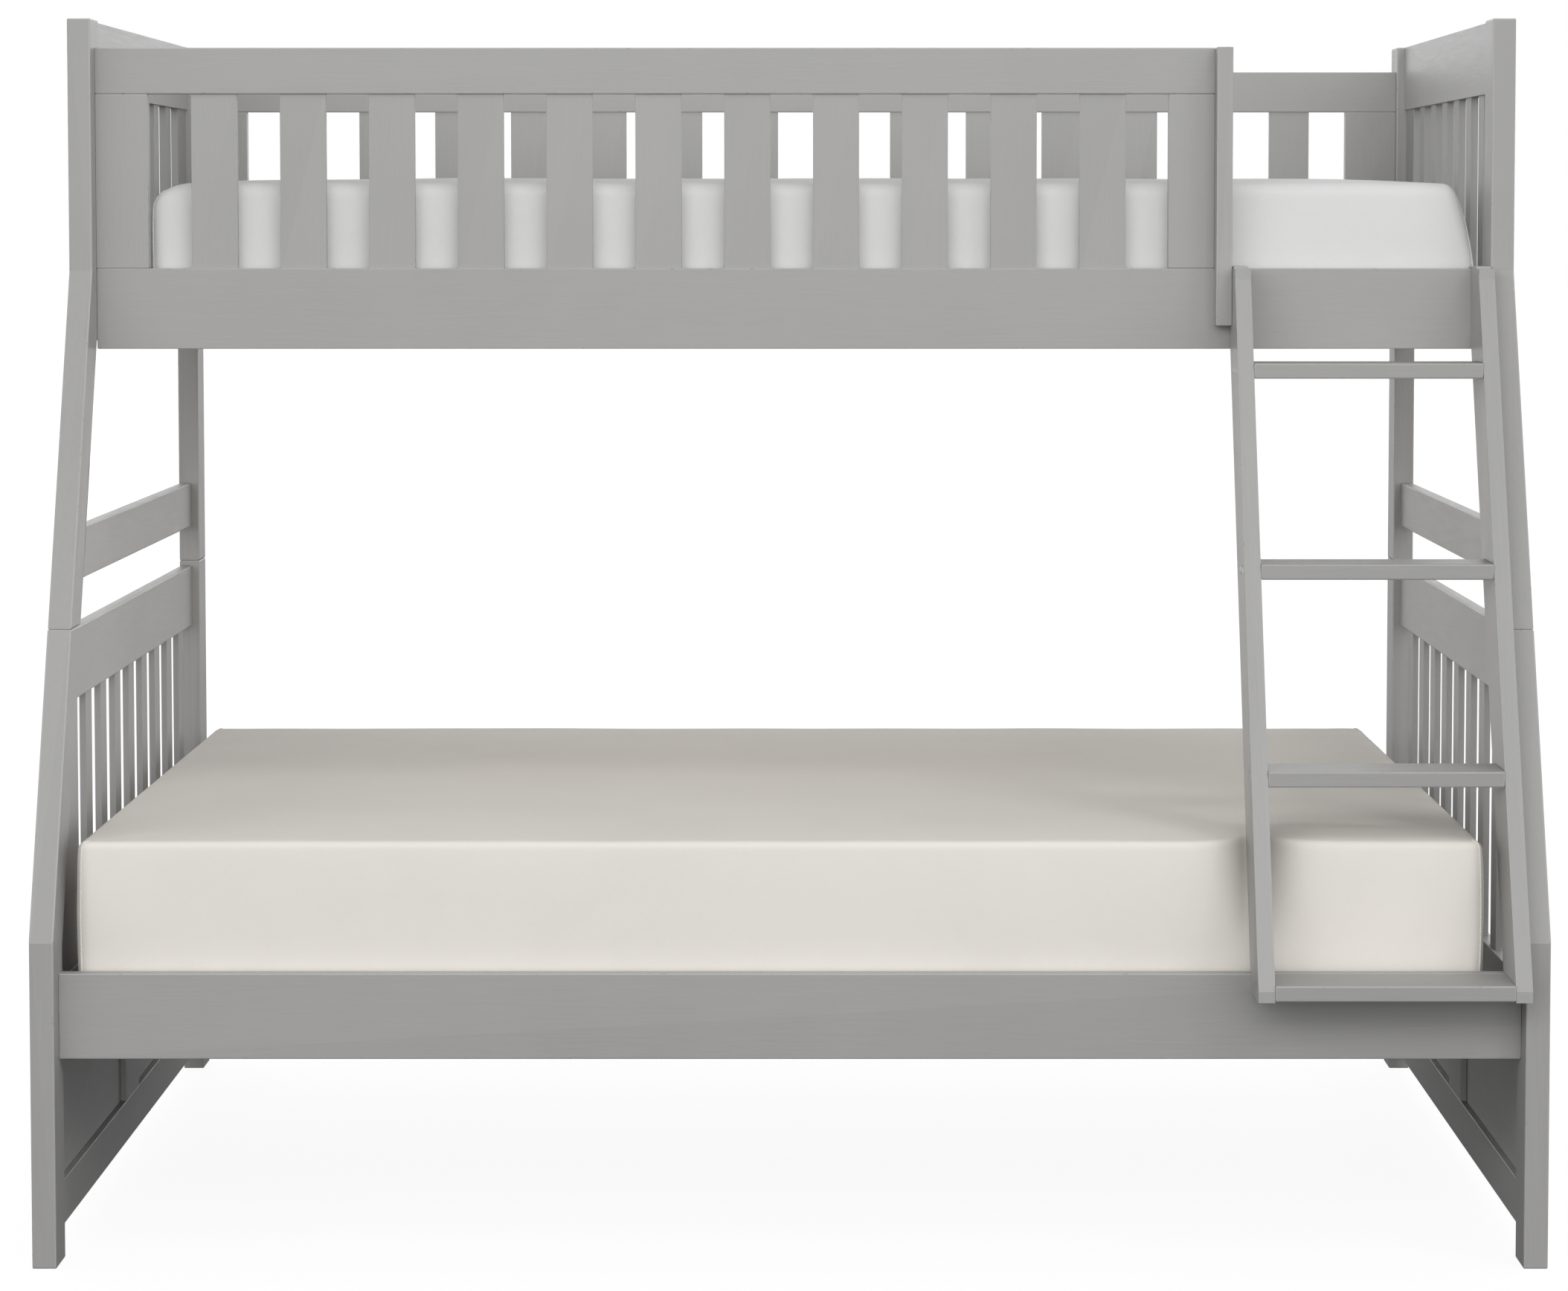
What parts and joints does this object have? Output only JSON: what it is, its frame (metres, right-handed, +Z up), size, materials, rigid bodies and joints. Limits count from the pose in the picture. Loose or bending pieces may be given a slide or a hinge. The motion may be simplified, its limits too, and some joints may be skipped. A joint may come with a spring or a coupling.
{
  "type": "bunk bed with ladder",
  "caption": "Twin-over-full bunk bed in grey painted wood: leaning front posts, slatted guards and ends, a matching leaning ladder, and two mattresses.",
  "frame": {"origin": "on the floor, under the centre of the whole outline, ladder included", "axes": "+X along the bed's length, from the guarded end to the ladder end; +Y from the ladder side to the wall side; +Z up"},
  "size_m": [2, 1.5136, 1.66],
  "materials": {
    "grey_paint": "satin",
    "ladder_paint": "satin",
    "hook_paint": "satin",
    "bare_pine": "matte",
    "zinc_steel": "satin",
    "mattress_fabric": "matte"
  },
  "bodies": {
    "frame": {"lower_front_leg_left": "grey_paint", "lower_front_leg_right": "grey_paint", "lower_rear_leg_left": "grey_paint", "lower_rear_leg_right": "grey_paint", "upper_front_post_left": "grey_paint", "upper_front_post_right": "grey_paint", "upper_rear_post_left": "grey_paint", "upper_rear_post_right": "grey_paint", "lower_end_top_rail_left": "grey_paint", "lower_end_top_rail_right": "grey_paint", "lower_end_slats_left": "grey_paint", "lower_end_slats_right": "grey_paint", "lower_end_corner_board_left": "grey_paint", "lower_end_corner_board_right": "grey_paint", "lower_end_mid_rail_left": "grey_paint", "lower_end_mid_rail_right": "grey_paint", "lower_end_bottom_rail_left": "grey_paint", "lower_end_bottom_rail_right": "grey_paint", "lower_end_stile_left": "grey_paint", "lower_end_stile_right": "grey_paint", "lower_end_panels_left": "grey_paint", "lower_end_panels_right": "grey_paint", "upper_end_top_rail_left": "grey_paint", "upper_end_top_rail_right": "grey_paint", "upper_end_slats_left": "grey_paint", "upper_end_slats_right": "grey_paint", "upper_end_low_rail_left": "grey_paint", "upper_end_low_rail_right": "grey_paint", "brace_rail_left": "grey_paint", "brace_rail_right": "grey_paint", "lower_front_rail": "grey_paint", "lower_rear_rail": "grey_paint", "upper_front_rail": "grey_paint", "upper_rear_rail": "grey_paint", "slat_ledgers": "bare_pine", "lower_bed_slats": "bare_pine", "upper_bed_slats": "bare_pine", "front_guard_rail": "grey_paint", "front_guard_slats": "grey_paint", "front_guard_stile_left": "grey_paint", "front_guard_stile_right": "grey_paint", "front_guard_end_post": "grey_paint", "rear_guard_rail": "grey_paint", "rear_guard_slats": "grey_paint", "rear_guard_stiles": "grey_paint", "rail_bolts": "zinc_steel", "barrel_nuts": "zinc_steel", "guard_bolts": "zinc_steel", "stacking_pins": "zinc_steel", "lower_mattress": "mattress_fabric"},
    "ladder": {"ladder_side_left": "ladder_paint", "ladder_side_right": "ladder_paint", "ladder_tread_1": "ladder_paint", "ladder_tread_2": "ladder_paint", "ladder_tread_3": "ladder_paint", "ladder_tread_4": "ladder_paint", "ladder_screws": "zinc_steel", "ladder_hooks": "hook_paint"},
    "upper_mattress": {"upper_mattress": "mattress_fabric"}
  },
  "joints": [
    {"name": "ladder_lift", "type": "slide", "parent": "frame", "child": "ladder", "axis": [0, 0, 1], "range_m": [0, 0.3]},
    {"name": "upper_mattress_lift", "type": "slide", "parent": "frame", "child": "upper_mattress", "axis": [0, 0, 1], "range_m": [0, 0.25]}
  ]
}
